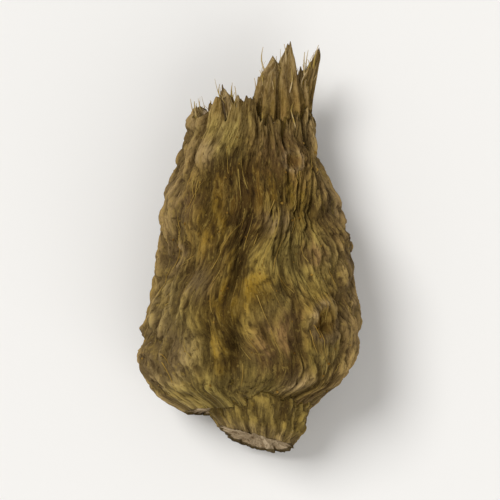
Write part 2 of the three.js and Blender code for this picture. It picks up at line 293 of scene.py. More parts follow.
print(f"{BROAD_CREASES} broad and {NARROW_CREASES} narrow creases, {len(FURROWS)} furrows and ridges")

# %% [markdown]
# ## Scars, knobs and stains
#
# Where a rootlet broke off, the bark keeps a round scar: a dished middle inside a raised lip. Blunt
# knobs are rootlets that never grew out. Sap that came through dried to russet stains, bark that
# lost its outermost layer looks rosy or golden, and bark that lay uppermost is bleached. All of them
# lie round one place of the bark, so a distance measured on the bark is all they need.

# %% Round marks on the bark
SCARS = [                      # y, angle, radius, depth, lip
    (-1.95, 48, 0.46, 0.13, 0.13),
    (-0.15, 141, 0.26, 0.16, 0.07),
    (1.1, 207, 0.32, 0.14, 0.1),
    (-2.5, 192, 0.4, 0.15, 0.12),
    (-0.7, 334, 0.4, 0.15, 0.12),
    (2.0, 346, 0.28, 0.13, 0.08),
    (2.45, 58, 0.24, 0.12, 0.07),
]
KNOBS = [                      # y, angle, radius, height
    (-2.7, 6, 0.34, 0.14),
    (-1.5, 10, 0.32, 0.13),
    (-0.35, 14, 0.3, 0.14),
    (1.4, 20, 0.28, 0.13),
    (1.65, 170, 0.26, 0.18),
    (-3.3, 168, 0.34, 0.1),
    (-2.9, 134, 0.7, 0.14),
    (-0.9, 120, 0.42, 0.12),
    (0.75, 76, 0.4, 0.13),
    (-3.7, 62, 0.42, 0.12),
    (2.7, 128, 0.36, 0.1),
    (0.2, 250, 0.4, 0.1),
    (-3.0, 300, 0.45, 0.12),
]
DISH_WIDTH = 0.75              # of a scar, as a share of its radius
LIP_WIDTH = 0.35
PATCHES = {                    # y, angle, radius of each patch of another colour
    "stained": [
        (1.9, 94, 0.85),
        (0.8, 90, 0.65),
        (-0.4, 148, 0.4),
        (-3.3, 70, 0.45),
        (0.8, 250, 0.9),
        (-1.8, 318, 0.8),
    ],
    "rosy": [
        (2.7, 66, 0.85),
        (-1.9, 72, 0.6),
        (-2.7, 80, 0.65),
        (1.2, 136, 0.5),
        (-0.2, 54, 0.45),
        (-1.5, 225, 0.8),
    ],
    "golden": [
        (-2.3, 108, 0.7),
        (-1.3, 104, 0.5),
        (-3.1, 102, 0.4),
        (-1.9, 50, 0.7),
        (-1.0, 88, 0.45),
        (0.9, 110, 0.6),
        (-1.2, 250, 0.9),
    ],
    "bleached": [
        (-2.9, 128, 1.7),
        (-3.8, 110, 1.3),
        (-1.4, 150, 0.8),
        (-2.8, 46, 0.6),
        (-0.3, 52, 0.8),
        (-0.1, 74, 0.8),
        (-1.6, 72, 0.8),
        (-3.4, 78, 0.5),
        (2.8, 100, 0.6),
        (3.3, 112, 0.6),
        (0.0, 300, 0.9),
        (-3.4, 240, 0.8),
    ],
}


def distance_to(mark_y, mark_angle, mark_radius, angle, y, radius):
    across = turn_between(angle, math.radians(mark_angle)) * radius
    return np.hypot(across, y - mark_y) / mark_radius


def round_marks(angle, y, radius):
    """The relief of all scars and knobs, and how much a place belongs to each kind of mark."""
    relief, scarred, knobbed = (np.zeros_like(y) for _ in range(3))
    for mark_y, mark_angle, size, depth, lip in SCARS:
        far = distance_to(mark_y, mark_angle, size, angle, y, radius)
        relief += lip * np.exp(-(((far - 1) / LIP_WIDTH) ** 2))
        relief -= depth * np.exp(-((far / DISH_WIDTH) ** 2))
        scarred += np.exp(-((far / 0.8) ** 4))
        knobbed += np.exp(-(((far - 1.05) / 0.3) ** 2))
    for mark_y, mark_angle, size, height in KNOBS:
        bump = np.exp(-(distance_to(mark_y, mark_angle, size, angle, y, radius) ** 2))
        relief += height * bump
        knobbed += bump
    looks = {"scarred": scarred, "wear_and_rim_light": knobbed}
    for name, patches in PATCHES.items():
        looks[name] = sum(
            np.exp(-(distance_to(*patch, angle, y, radius) ** 2)) for patch in patches)
    return relief, looks


print(f"{len(SCARS)} scars, {len(KNOBS)} knobs and {sum(map(len, PATCHES.values()))} patches")

# %% [markdown]
# ## Fine wrinkles
#
# Between the creases, the bark is wrinkled as finely as crepe. Tables of random heights and slopes,
# one of each for every corner of a grid on the bark, give bumps that never repeat. Cells that are
# many times longer along the grain than across it make fibres, and the tables wrap round the body, so
# that there is no seam. A thin crease lies wherever such bumps pass through their middle height.

# %% Random relief along the grain
NOISE_ROWS = 97                # cells along the piece before a table repeats
NOISE_START = 20.0             # how far below the origin the first row of a table lies
NOISE_STEP = 0.37              # and how much further for each next table, so that no two rows coincide
NOISE_HEIGHT = 0.7             # share of the random heights, beside the slopes
NOISE_GAIN = 0.7               # brings nearly all of the noise between 0 and 1


def cell_noise(grain, y, around, along, table):
    """Smooth random bumps, nearly all from 0 to 1, with `around` cells in a turn and `along` cells
    in a millimetre. Each table number gives other bumps."""
    heights, slopes = np.random.default_rng(table).random((2, around, NOISE_ROWS))
    u = grain / (2 * np.pi) * around
    v = (y + NOISE_START + NOISE_STEP * table) * along
    i, j = np.floor(u).astype(int), np.floor(v).astype(int)
    u, v = u - i, v - j

    def corner(right, up):
        cell = (i + right) % around, (j + up) % NOISE_ROWS
        slope = 2 * np.pi * slopes[cell]
        height = NOISE_HEIGHT * (heights[cell] - 0.5)
        return height + np.cos(slope) * (u - right) + np.sin(slope) * (v - up)

    across, upward = smoothstep(u, 0, 1), smoothstep(v, 0, 1)
    low = mix(corner(0, 0), corner(1, 0), across)
    high = mix(corner(0, 1), corner(1, 1), across)
    return 0.5 + NOISE_GAIN * mix(low, high, upward)


def thin_lines(noise, sharpness):
    """1 on a thin line where the noise passes through a half, falling to 0 beside it."""
    return np.clip(1 - np.abs(2 * noise - 1), 0, 1) ** sharpness


# Each noise is set by its cells in a turn, its cells in a millimetre along and its table's number
FINE_CREASES = [               # noise, depth
    ((24, 0.45, 11), 0.15),
    ((47, 0.90, 12), 0.10),
    ((89, 1.60, 13), 0.07),
    ((163, 2.70, 14), 0.05),
]
LUMPS = [                      # noise, height
    ((12, 0.7, 15), 0.20),
    ((26, 1.1, 16), 0.14),
    ((60, 2.1, 17), 0.10),
]
CREASE_SHARPNESS = 4
SWAY = (12, 0.9, 10)
FINE_SWAY = 0.2                # how far a fine crease wanders across the grain, in radians
DRIFT = (9, 0.7, 9)
FINE_DRIFT = 0.9               # and along it, in millimetres
CRACKS = (22, 2.2, 20)
CRACK_SHARPNESS = 9
CRACK_DEPTH = 0.05             # short cracks across the grain
CRACKED_PARTS = (9, 0.7, 21)
CRACKED_ABOVE = (0.45, 0.6)    # from none to all of the cracks
PITS = (54, 3.2, 22)
PITTED_ABOVE = (0.72, 0.86)
PIT_DEPTH = 0.06
FLAKES = (30, 1.3, 23)
FLAKE_EDGES = (92, 3.1, 24)
FLAKED_ABOVE = (0.99, 1.04)    # lower values flake off more of the bark
FLAKE_THICKNESS = 0.035
FINE_MEAN = 0.36               # what keeps the wrinkled bark, on average, at the smooth form


def wrinkles(grain, y):
    """Height of the fine relief, how deep it is creased and how much of the bark has flaked off."""
    swayed = grain + FINE_SWAY * (cell_noise(grain, y, *SWAY) - 0.5)
    y = y + FINE_DRIFT * (cell_noise(grain, y, *DRIFT) - 0.5)
    creased = np.zeros_like(y)
    for noise, depth in FINE_CREASES:
        creased += depth * thin_lines(cell_noise(swayed, y, *noise), CREASE_SHARPNESS)
    lumps = np.zeros_like(y)
    for noise, height in LUMPS:
        lumps += height * cell_noise(swayed, y, *noise)
    cracked = thin_lines(cell_noise(grain, y, *CRACKS), CRACK_SHARPNESS)
    cracked *= smoothstep(cell_noise(grain, y, *CRACKED_PARTS), *CRACKED_ABOVE)
    pitted = smoothstep(cell_noise(grain, y, *PITS), *PITTED_ABOVE)
    ragged = cell_noise(swayed, y, *FLAKES) + 0.5 * cell_noise(swayed, y, *FLAKE_EDGES)
    flaked = smoothstep(ragged, *FLAKED_ABOVE)
    creased += CRACK_DEPTH * cracked + PIT_DEPTH * pitted
    return FINE_MEAN - creased - lumps - FLAKE_THICKNESS * flaked, creased, flaked


fine, creased, flaked = wrinkles(np.linspace(-3, 3, 4000), np.linspace(-4, 4, 4000))
print(f"fine relief from {fine.min():.2f} to {fine.max():.2f} mm, {fine.mean():.3f} mm on average")
print(f"{100 * flaked.mean():.0f}% of the bark has flaked off")

# %% [markdown]
# ## A point of the bark
#
# One function now puts a point on the bark: the section gives the smooth form, and the creases,
# furrows, scars and wrinkles push it in or out. Near the spot that the piece rests on, the relief
# fades, as it does on a root that dried lying flat.

# %% The skin of the body
REST_X, REST_Y = 0.0, -1.0
REST_HALF_WIDTH, REST_HALF_LENGTH = 1.35, 2.2
REST_FADE = (0.75, 1.2)        # between these shares of the half sizes the relief comes back
FLANKS = (0.3, 2.8)            # where both flanks are painted palest, as painted rim light, in radians
FLANK_WIDTH = 0.5
FLANK_RIM_LIGHT = 0.8


def signed_power(value, power):
    return np.sign(value) * np.abs(value) ** power


def bark_point(grain, y, fine_share=1.0):
    """Place of each point, its outward direction, and what the finish needs to know about it."""
    left, right, low, high, waist, radius = section(y)
    angle = grain_angle(grain, y)
    c, s = np.cos(angle), np.sin(angle)
    half_width = (right - left) / 2
    half_height = np.where(s > 0, high - waist, waist - low)
    x = (left + right) / 2 + half_width * signed_power(c, SQUARE_TOP)
    z = waist + half_height * signed_power(s, np.where(s > 0, SQUARE_TOP, SQUARE_BASE))
    outward = np.stack([c / half_width, np.zeros_like(y), s / half_height], axis=1)
    outward /= np.linalg.norm(outward, axis=1, keepdims=True)
    marks, looks = round_marks(angle, y, radius)
    fine, creased, flaked = wrinkles(grain, y)
    folds = bark_creases(grain, y) + furrow_relief(angle, y, radius)
    far = np.hypot((x - REST_X) / REST_HALF_WIDTH, (y - REST_Y) / REST_HALF_LENGTH)
    share = np.where(s < 0, smoothstep(far, *REST_FADE), 1.0)
    relief = (folds + swelling(grain, y) + marks + fine_share * fine) * share
    place = np.stack([x, y, z], axis=1) + outward * relief[:, None]
    # Both flanks are painted paler, as painted rim light, on top of the wear of knobs and scar lips.
    off_flank = np.minimum(*(np.abs(turn_between(angle, flank)) for flank in FLANKS))
    wear_and_rim_light = looks["wear_and_rim_light"] + FLANK_RIM_LIGHT * np.exp(-((off_flank / FLANK_WIDTH) ** 2))
    wear_and_rim_light = np.clip(wear_and_rim_light, 0.0, 1.0)
    looks.update({"fold": -folds, "creased": creased, "flaked": flaked, "wear_and_rim_light": wear_and_rim_light})
    return place, outward, looks


def tooth_share(grain):
    ragged = 0.5 + 0.3 * np.sin(3 * grain + 1.2) + 0.2 * np.sin(7 * grain + 0.3)
    return ragged * mix(1 - crease(BROAD_CREASES, grain), 1 - crease(NARROW_CREASES, grain), 0.5)


top = bark_point(np.array([1.5]), np.array([0.0]))[0][0]
print(f"the bark at the middle of the top is {top[2]:.2f} mm above the floor")

# %% [markdown]
# ## Rolling a sheet into a skin
#
# A grid is rolled into a closed tube: one side of the sheet is turned round the body and welded to
# the other, and its first and last rows are drawn together in the middle of the two end faces. Each
# corner of the sheet knows its grain line and its place from end to end, so a function can put it on
# the skin. This is quicker than spinning a profile, which does the same.

# %% The rolled sheet
WELD = 2e-8                    # metres, so small that only the corners of the seam and the poles meet
LOOKS = ("fold", "creased", "flaked", "scarred", "wear_and_rim_light", *PATCHES, "bare")


def rolled(name, columns, rings, cap_rings, shape):
    """A closed skin. shape(turn, along, inward) gives each corner's place in millimetres, its place
    on the grain and its looks. inward is 0 on the side and rises to 1 at the middle of an end."""
    steps = rings + 2 * cap_rings
    bm = bmesh.new()
    bmesh.ops.create_grid(bm, x_segments=columns, y_segments=steps, size=1.0)
    mesh = bpy.data.meshes.new(name)
    bm.to_mesh(mesh)
    bm.free()
    flat = np.empty(len(mesh.vertices) * 3)
    mesh.vertices.foreach_get("co", flat)
    sheet = flat.reshape(-1, 3)
    step = (sheet[:, 1] + 1) / 2 * steps
    skin = np.interp(step, [0, cap_rings, cap_rings + rings, steps], [-1, 0, 1, 2])
    inward = np.maximum(np.maximum(-skin, skin - 1), 0.0)
    place, grain_place, looks = shape(np.pi * sheet[:, 0], np.clip(skin, 0.0, 1.0), inward)
    mesh.vertices.foreach_set("co", (place * MM).ravel())
    stored = mesh.attributes.new("grain_place", "FLOAT_VECTOR", "POINT")
    stored.data.foreach_set("vector", grain_place.ravel())
    for label in LOOKS:
        value = np.zeros(len(sheet)) + looks.get(label, 0.0)
        stored = mesh.attributes.new(label, "FLOAT", "POINT")
        stored.data.foreach_set("value", value)
    close(mesh)
    made = bpy.data.objects.new(name, mesh)
    bpy.context.scene.collection.objects.link(made)
    return made


def close(mesh):
    """Welds the seam and the poles and turns every face outwards."""
    bm = bmesh.new()
    bm.from_mesh(mesh)
    bmesh.ops.remove_doubles(bm, verts=bm.verts[:], dist=WELD)
    bmesh.ops.recalc_face_normals(bm, faces=bm.faces[:])
    for face in bm.faces:
        face.smooth = True
    bm.to_mesh(mesh)
    bm.free()


def tube_place(turn, y, radius, aside=0.0):
    """Where a part's finish is laid out: on a plain tube, so that no relief stretches it."""
    return np.stack([radius * np.cos(turn) + aside, y, radius * np.sin(turn)], axis=1)


print("each point of a skin stores its place on the grain and its looks:", ", ".join(LOOKS))

# %% [markdown]
# ## Cut and torn tissue
#
# The inside of the root is spongy. A knife leaves it nearly flat with small pits and cracks, and a
# tear leaves it ragged. On these faces the relief lies in the plane of the face, so it takes a grid
# of random heights on that plane rather than one that runs round the bark.

# %% Relief of the end faces
FACE_NOISE_SIZE = 64           # cells across a face before a table repeats
FACE_NOISE_START = 8.0         # how far left of the origin the first of them lies
HOLLOW_CELLS, HOLLOW_DEPTH = 1.6, 0.08   # cells in a millimetre, depth
DIMPLE_CELLS, DIMPLE_DEPTH = 5.0, 0.05
PORE_CELLS, PORE_DEPTH = 7.0, 0.09
PORED_ABOVE = (0.68, 0.9)      # from none to all of a pore's depth
SPLIT_CELLS, SPLIT_DEPTH = 1.3, 0.14
SPLIT_SHARPNESS = 12
RIM_OF_FACE = 0.12             # share of a face over which its relief starts


def plane_noise(x, z, cells, table):
    """Smooth random bumps on a plane, with so many cells in a millimetre."""
    turns = (x + FACE_NOISE_START) * cells * 2 * np.pi / FACE_NOISE_SIZE
    return cell_noise(turns, z, FACE_NOISE_SIZE, cells, table)


def sponge(x, z, table):
    """Height of cut tissue, mostly below 0: soft hollows, small pores and a few splits."""
    hollows = HOLLOW_DEPTH * plane_noise(x, z, HOLLOW_CELLS, table)
    dimples = DIMPLE_DEPTH * plane_noise(x, z, DIMPLE_CELLS, table + 1)
    pores = PORE_DEPTH * smoothstep(plane_noise(x, z, PORE_CELLS, table + 2), *PORED_ABOVE)
    splits = SPLIT_DEPTH * thin_lines(plane_noise(x, z, SPLIT_CELLS, table + 3), SPLIT_SHARPNESS)
    return -(hollows + dimples + pores + splits)


CUT_TABLE, STUB_TABLE = 36, 42  # first of the tables for the body's cut face and for the stub's
depths = sponge(np.linspace(-1, 1, 2000), np.linspace(0, 2, 2000), STUB_TABLE)
print(f"cut tissue is up to {-depths.min():.2f} mm deep, {-depths.mean():.2f} mm on average")

# %% [markdown]
# ## The body
#
# The side of the body comes from the bark. Its lower face is a knife cut, slightly slanted, and its
# upper face is torn: teeth of bark stand round a sunken, fibrous middle.

# %% Roll the body
BODY_COLUMNS = 350
BODY_RINGS = 168
FACE_RINGS = 14
FRAYING = [                    # noise round the torn rim, how far it frays the teeth of bark
    ((26, 1.0, 30), 0.9),
    ((110, 1.0, 31), 0.5),
]
DEEPEST_NOTCH = -0.5           # as a share of the longest tooth
TEAR_DEPTH = 0.7               # how far single fibres of the torn face lie behind others
TEAR_CELLS = 6.0
TEAR_TABLE = 32
TEAR_RISE = 0.3                # share of that depth that is taken off, so that some reach forward
CUT_SLANT_FADE = 0.12          # share of the side over which the slant of the cut fades
BARE_RIM = 0.3                 # how bare the teeth of bark are at their tips
GRAIN_RADIUS = 2.5             # of the plain tube on which the finish of the bark is laid out


def body_shape(grain, along, inward):
    torn = along > 0.5
    frayed = sum(far * (cell_noise(grain, 0 * grain, *noise) - 0.5) for noise, far in FRAYING)
    reach = BODY_TORN_Y + TOOTH_REACH * np.maximum(tooth_share(grain) + frayed, DEEPEST_NOTCH)
    y = mix(BODY_CUT_Y, reach, along)
    place, _, looks = bark_point(grain, y)
    middle_y = np.where(torn, BODY_TORN_Y - TORN_DEPTH, BODY_CUT_Y)
    left, right, _, _, waist, _ = section(middle_y)
    middle = np.stack([(left + right) / 2, middle_y, waist], axis=1)
    place = mix(place, middle, inward[:, None])
    slanted = 1 - smoothstep(along, 0, CUT_SLANT_FADE)
    place[:, 1] += CUT_SLANT * (place[:, 2] - waist) * slanted
    x, z = place[:, 0], place[:, 2]
    tears = TEAR_DEPTH * (plane_noise(x, z, TEAR_CELLS, TEAR_TABLE) - TEAR_RISE)
    relief = np.where(torn, -tears, -sponge(x, z, CUT_TABLE))
    place[:, 1] += relief * smoothstep(inward, 0.0, RIM_OF_FACE)
    bare = smoothstep(inward, 0.0, 0.04)
    looks["bare"] = np.maximum(bare, BARE_RIM * smoothstep(along, 0.84, 1.0))
    grain_place = tube_place(grain, y, GRAIN_RADIUS)
    return place, mix(grain_place, place, bare[:, None]), looks


body = rolled("body", BODY_COLUMNS, BODY_RINGS, FACE_RINGS, body_shape)
print(f"the body has {len(body.data.polygons)} faces")

# %% [markdown]
# ## The root stub
#
# A root as thick as a match grew from the lower end and was cut off with the rest. Its cut face is
# slanted and dished, since the soft middle of a root shrinks more than its rim.

# %% Roll the root stub
STUB_FROM = np.array([0.05, -3.0, 1.9])
STUB_TO = np.array([0.14, -5.44, 1.45])
STUB_HALF_WIDTH = 1.36
STUB_HALF_HEIGHT = 1.08
STUB_FLARE_WIDTH = 1.2         # how much wider it is where it grows from the body
STUB_FLARE_HEIGHT = 1.5
STUB_HIDDEN = 0.3              # how much slimmer its end inside the body is
STUB_SLANT = 0.25              # how much further the right side of the cut reaches
STUB_LEAN = 0.33               # how much further its underside reaches
STUB_CORNERS = 0.2             # how far both sides of the cut stay back
STUB_DISH = 0.2
STUB_RIM = 0.16                # rounding of the cut's edge
STUB_CREASES = 8
STUB_CREASE_DEPTH = 0.16
STUB_FINE = 0.8                # share of the bark's fine relief
STUB_GRAIN_TURN = 1.0          # radians to where its fine relief is taken from the bark's
STUB_GRAIN_SHIFT = -7.0        # and millimetres
STUB_GRAIN_RADIUS = 1.2        # of the plain tube on which its finish is laid out
STUB_FINISH_SHIFT = -11.0      # how far that tube lies from the body's, so that it looks different


def stub_crease(turn):
    uneven = turn + 0.25 * np.sin(2 * turn + 1.0)
    return (0.6 + 0.4 * np.sin(3 * turn + 0.8)) * crease(STUB_CREASES, uneven)


def stub_shape(turn, along, inward):
    centre = mix(STUB_TO, STUB_FROM, along[:, None])
    y = centre[:, 1]
    shrink = STUB_CREASE_DEPTH * stub_crease(turn)
    fine, creased, flaked = wrinkles(turn + STUB_GRAIN_TURN, y + STUB_GRAIN_SHIFT)
    grown = smoothstep(along, 0.05, 0.5)
    rounded = 1 - STUB_RIM * (1 - smoothstep(along, 0, 0.15))
    slimmed = 1 - STUB_HIDDEN * smoothstep(along, 0.6, 1)
    reach = (1 - shrink) * rounded * slimmed
    half_width = STUB_HALF_WIDTH * mix(1, STUB_FLARE_WIDTH, grown) * reach + STUB_FINE * fine
    half_height = STUB_HALF_HEIGHT * mix(1, STUB_FLARE_HEIGHT, grown) * reach + STUB_FINE * fine
    c, s = np.cos(turn), np.sin(turn)
    x = half_width * (1 - inward) * c
    z = half_height * (1 - inward) * s
    side = STUB_CORNERS * (c * (1 - inward)) ** 4
    slanted = (STUB_LEAN * z - STUB_SLANT * x + side) * (1 - along)
    cut = along < 0.5
    dished = STUB_DISH * np.sin(0.5 * np.pi * inward)
    sunk = dished - sponge(x, z, STUB_TABLE) * smoothstep(inward, 0, RIM_OF_FACE)
    place = centre + np.stack([x, slanted + sunk * cut, z], axis=1)
    bare = smoothstep(inward, 0.0, 0.05) * cut
    grain_place = tube_place(turn, y + STUB_FINISH_SHIFT, STUB_GRAIN_RADIUS)
    return place, mix(grain_place, place, bare[:, None]), {
        "fold": STUB_HALF_WIDTH * shrink,
        "creased": creased,
        "flaked": flaked,
        # Painted rim light: the stub is painted paler towards its cut end.
        "wear_and_rim_light": 0.9 * (1 - smoothstep(along, 0.0, 0.2)),
        "bleached": 0.6,
        "bare": bare,
    }


stub = rolled("stub", 120, 48, 12, stub_shape)
print(f"the stub has {len(stub.data.polygons)} faces")

# %% [markdown]
# ## The splinters
#
# Dry rootstock tears along its vessels. Each splinter tapers from deep in the body to a thin tip, and
# its sides are grooved by the vessels that it split along.

# %% Roll the splinters
SPLINTERS = [                  # from, to, width, thickness, width of the tip, keenness, bow
    ((0.9, 2.0, 1.8), (1.06, 5.9, 2.1), 1.3, 1.2, 0.2, 2.2, 0.08),
    ((0.5, 2.0, 1.9), (0.66, 5.5, 2.05), 1.4, 1.1, 0.24, 3.0, -0.04),
    ((1.2, 2.0, 1.6), (1.9, 5.8, 1.85), 1.0, 0.9, 0.2, 1.4, -0.1),
    ((1.1, 2.0, 1.7), (1.44, 5.25, 1.8), 1.1, 0.9, 0.22, 2.6, 0.04),
    ((0.1, 2.0, 1.9), (0.26, 5.05, 1.9), 1.1, 1.0, 0.24, 1.7, 0.06),
    ((-0.5, 2.0, 1.9), (-0.84, 4.7, 2.1), 1.0, 0.9, 0.2, 1.3, 0.06),
    ((-1.1, 1.8, 1.6), (-1.66, 4.15, 1.75), 1.0, 1.0, 0.2, 1.4, -0.05),
    ((-0.2, 2.0, 1.3), (-0.3, 4.45, 1.2), 1.3, 0.9, 0.3, 1.8, 0.0),
    ((-0.9, 2.0, 1.2), (-1.2, 4.2, 1.15), 0.9, 0.8, 0.24, 1.6, 0.05),
    ((0.9, 2.0, 1.3), (1.3, 5.0, 1.1), 1.5, 1.0, 0.28, 2.4, 0.1),
    ((0.4, 2.0, 1.1), (0.5, 4.6, 0.8), 1.0, 0.8, 0.24, 1.5, -0.05),
]
# The table's number in each noise below is the first splinter's, and the others' follow
VESSELS = (11, 0.35, 50)
VESSEL_SHARPNESS = 2
GROOVE_DEPTH = 0.45            # as a share of its thickness
THREADS = (33, 1.2, 65)
THREAD_DEPTH = 0.16
SPLINTER_FULLNESS = 1.1        # makes up for what the grooves take away
SPLINTER_SWAY = 0.05
TORN_TIP = (7, 0.2, 80)
TIP_CUT_BACK = 0.5             # how far a ragged tip is cut back at most, in millimetres
TIP_MIDDLE_CUT_BACK = 0.2
SPLINTER_GRAIN_RADIUS = 0.4    # of the tube on which its finish is laid out
SPLINTER_FINISH_GAP = 5        # millimetres from one splinter's tube to the next one's


def numbered(noise, number):
    """The noise of the same kind for another piece, which takes its own random table."""
    around, along, table = noise
    return around, along, table + number


def splinter(number, start, end, width, thick, tip, keen, bow):
    start, end = np.array(start), np.array(end)

    def shape(turn, along, inward):
        centre = mix(start, end, along[:, None])
        y = centre[:, 1]
        taper = 1 - along**keen
        vessels = cell_noise(turn, y, *numbered(VESSELS, number))
        threads = cell_noise(turn, y, *numbered(THREADS, number))
        grooves = GROOVE_DEPTH * thin_lines(vessels, VESSEL_SHARPNESS) + THREAD_DEPTH * threads
        reach = (1 - inward) * (SPLINTER_FULLNESS - grooves)
        bent = bow * np.sin(np.pi * along) + SPLINTER_SWAY * np.sin(2.3 * y + number) * along
        x = bent + mix(tip, width, taper) / 2 * reach * np.cos(turn)
        z = mix(tip, thick, taper) / 2 * reach * np.sin(turn)
        ragged = TIP_CUT_BACK * cell_noise(turn, 0 * y, *numbered(TORN_TIP, number))
        cut_back = mix(ragged, TIP_MIDDLE_CUT_BACK, inward) * smoothstep(along, 0.82, 1.0)
        place = centre + np.stack([x, -cut_back, z], axis=1)
        grain_place = tube_place(
            turn, y + SPLINTER_FINISH_GAP * number, SPLINTER_GRAIN_RADIUS, aside=number)
        return place, grain_place, {
            # Painted shade: the grooves are painted darker, and a steady fold value paints each whole
            # splinter darker.
            "creased": 0.4 * grooves,
            "fold": 0.22,
            "rosy": 0.35,
            "bare": mix(0.1, 0.7, smoothstep(along, 0.5, 0.95)),
        }

    return rolled(f"splinter_{number}", 44, 64, 2, shape)


splinters = [splinter(number, *row) for number, row in enumerate(SPLINTERS)]
print(f"{len(splinters)} splinters")

# %% [markdown]
# ## The rootlets
#
# Thin rootlets broke off close to the bark, low on the flanks. Each is a short peg that widens where
# it grows out of the bark.

# %% Roll the rootlets
ROOTLETS = [                   # y, angle, length, radius, droop of the tip
    (-2.9, 214, 0.6, 0.34, -0.1),
    (0.2, 326, 0.7, 0.3, -0.15),
    (2.3, 218, 0.55, 0.26, 0.1),
]
ROOTLET_DEPTH = 0.7            # how far a rootlet is sunk into the body
ROOTLET_WRINKLES = (9, 0.4, 90)
ROOTLET_WRINKLE_DEPTH = 0.25   # as a share of its radius
ROOTLET_GRIT = (14, 1.0, 93)
ROOTLET_GRIT_DEPTH = 0.1
ROOTLET_FULLNESS = 1.1         # makes up for what both take away
ROOTLET_END = (9, 1.0, 96)
ROOTLET_CUT_BACK = 0.16        # how far its broken end is cut back at most, in millimetres
ROOTLET_FINISH_START = 40.0    # where the first rootlet's finish lies on the grain
ROOTLET_FINISH_GAP = 5         # and how far on the next one's


def rootlet(number, y, angle, length, radius, droop):
    root = bark_point(np.radians([angle]), np.array([y]), fine_share=0.0)[0][0]
    left, right, _, _, waist, _ = section(np.array([y]))
    outward = Vector(root - np.array([(left[0] + right[0]) / 2, y, waist[0]])).normalized()
    turned = np.array(Vector((0, 1, 0)).rotation_difference(outward).to_matrix())
    whole = length + ROOTLET_DEPTH
    finish_shift = np.array([0.0, ROOTLET_FINISH_START + ROOTLET_FINISH_GAP * number, 0.0])

    def shape(turn, along, inward):
        wrinkled = cell_noise(turn, 3 * along, *numbered(ROOTLET_WRINKLES, number))
        wrinkled = ROOTLET_WRINKLE_DEPTH * thin_lines(wrinkled, VESSEL_SHARPNESS)
        rough = ROOTLET_GRIT_DEPTH * cell_noise(turn, 8 * along, *numbered(ROOTLET_GRIT, number))
        widening = mix(1.5, 0.8, smoothstep(along, 0.4, 0.85))
        reach = radius * widening * (1 - inward) * (ROOTLET_FULLNESS - wrinkled - rough)
        ragged = ROOTLET_CUT_BACK * cell_noise(turn, 4 * inward, *numbered(ROOTLET_END, number))
        ragged = mix(ragged, 0.5 * ROOTLET_CUT_BACK, inward)
        local = np.stack([
            reach * np.cos(turn),
            (along - 1) * whole + length - ragged * smoothstep(along, 0.9, 1.0),
            reach * np.sin(turn) + droop * along * along,
        ], axis=1)
        return local @ turned.T + root, local + finish_shift, {
            "creased": 0.5 * (wrinkled + rough),
            "bare": smoothstep(inward, 0.0, 0.3) * (along > 0.5),
        }

    return rolled(f"rootlet_{number}", 44, 30, 8, shape)


rootlets = [rootlet(number, *row) for number, row in enumerate(ROOTLETS)]
print(f"{len(rootlets)} rootlets")

# %% [markdown]
# ## Growing it together
#
# The body, the stub, the splinters and the rootlets are one grown thing, so their skins are joined
# into one. A Boolean union drops everything that lies inside. Its manifold solver is quick and keeps
# the values stored on the points of both skins, which the finish reads later. It can leave a few bits
# of skin closed up inside, which are deleted. Last, what would reach below the floor is pressed flat
# against it, as the underside of the real piece is, and the whole is fitted to the solid's box.

# %% Join the skins
def grow_together(whole, part):
    joint = whole.modifiers.new("joint", "BOOLEAN")
    joint.operation = "UNION"
    joint.solver = "MANIFOLD"
    joint.object = part
    graph = bpy.context.evaluated_depsgraph_get()
    joined = bpy.data.meshes.new_from_object(whole.evaluated_get(graph), depsgraph=graph)
    whole.modifiers.clear()
    whole.data = joined
    bpy.data.objects.remove(part)


def keep_largest_shell(mesh):
    """Deletes the bits of skin that a union leaves inside, and returns how many points they had."""
    ends = np.empty(2 * len(mesh.edges), dtype=np.int32)
    mesh.edges.foreach_get("vertices", ends)
    first, second = ends.reshape(-1, 2).T
    shell = np.arange(len(mesh.vertices))
    # Each point takes the lowest number of its neighbours until a shell has one number throughout
    while (shell[first] != shell[second]).any():
        lowest = np.minimum(shell[first], shell[second])
        np.minimum.at(shell, first, lowest)
        np.minimum.at(shell, second, lowest)
        shell = shell[shell]
    bm = bmesh.new()
    bm.from_mesh(mesh)
    bm.verts.ensure_lookup_table()
    largest = np.bincount(shell).argmax()
    spare = [bm.verts[index] for index in np.flatnonzero(shell != largest)]
    bmesh.ops.delete(bm, geom=spare, context="VERTS")
    bm.to_mesh(mesh)
    bm.free()
    return len(spare)


root_skin = body
root_skin.name = "root_skin"
for part in [stub, *splinters, *rootlets]:
    grow_together(root_skin, part)
joined = root_skin.data
spare_points = keep_largest_shell(joined)
triangles = sum(len(face.vertices) - 2 for face in joined.polygons)
print(f"the joined skin has {triangles} triangles, without {spare_points} spare points")

# %% Settle it on the floor, inside the solid's box
INSIDE = 0.9995                # a hair smaller than the box

corners = np.empty(len(joined.vertices) * 3)
joined.vertices.foreach_get("co", corners)
corners = corners.reshape(-1, 3) / MM
corners[:, 2] = np.maximum(corners[:, 2], 0.0)
skin_low, skin_high = corners.min(axis=0), corners.max(axis=0)
FIT = INSIDE * np.array(PIECE) / (skin_high - skin_low)
SHIFT = np.array([(skin_low[0] + skin_high[0]) / 2, (skin_low[1] + skin_high[1]) / 2, 0.0])


def settled(points):
    """Points of the grown piece, in millimetres, moved to where it lies on the floor."""
    return (points - SHIFT) * FIT


joined.vertices.foreach_set("co", (settled(corners) * MM).ravel())
joined.update()
print("the skin was", (skin_high - skin_low).round(2), "mm and is scaled by", FIT.round(3))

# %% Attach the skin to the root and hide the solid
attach(root_skin, "root")
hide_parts("root_piece")

